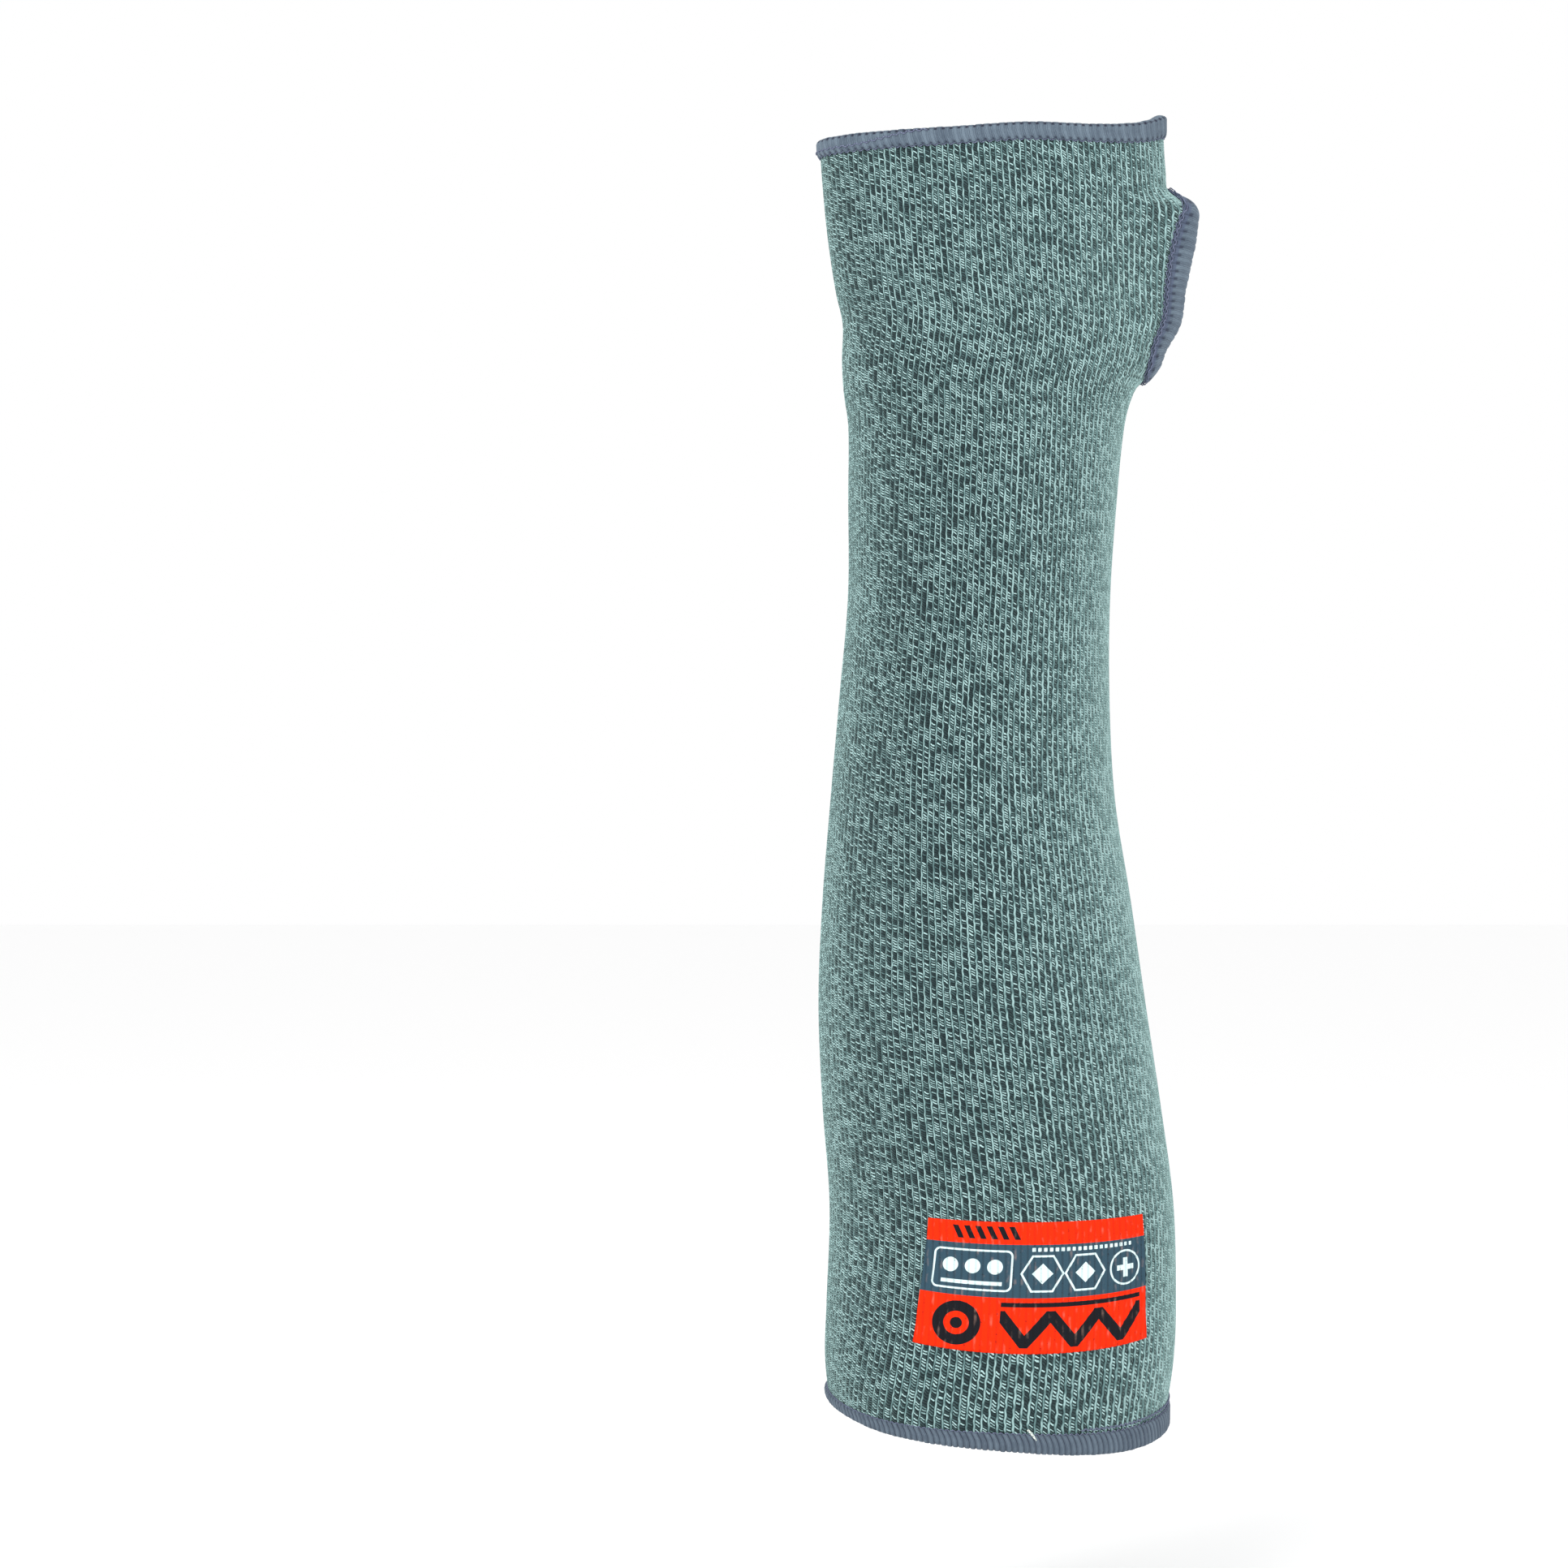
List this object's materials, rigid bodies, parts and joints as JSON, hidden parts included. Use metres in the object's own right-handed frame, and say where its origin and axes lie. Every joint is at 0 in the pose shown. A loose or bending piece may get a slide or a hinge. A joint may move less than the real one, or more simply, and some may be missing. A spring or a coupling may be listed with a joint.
{
  "type": "cut resistant sleeve",
  "caption": "Knitted protective sleeve for a right forearm and hand, with a bound thumb opening, serged edges and a printed patch near the upper end.",
  "frame": {"origin": "centre of the arm opening, on the flat level of its edge, where the arm goes in", "axes": "+Z along the sleeve from the arm opening to the hand opening, +X to the thumb opening, and the printed patch faces -Y"},
  "size_m": [0.1029, 0.0733, 0.3563],
  "materials": {
    "knit": "heather weft knit of pale green, dark blue and black yarn",
    "binding": "blue-grey overlock thread, packed side by side",
    "print": "thin printed film pressed onto the knit, satin"
  },
  "bodies": {
    "root": {"knit_tube": "knit", "hand_hem": "binding", "arm_hem": "binding", "thumb_hem": "binding", "print_patch": "print"}
  },
  "joints": []
}
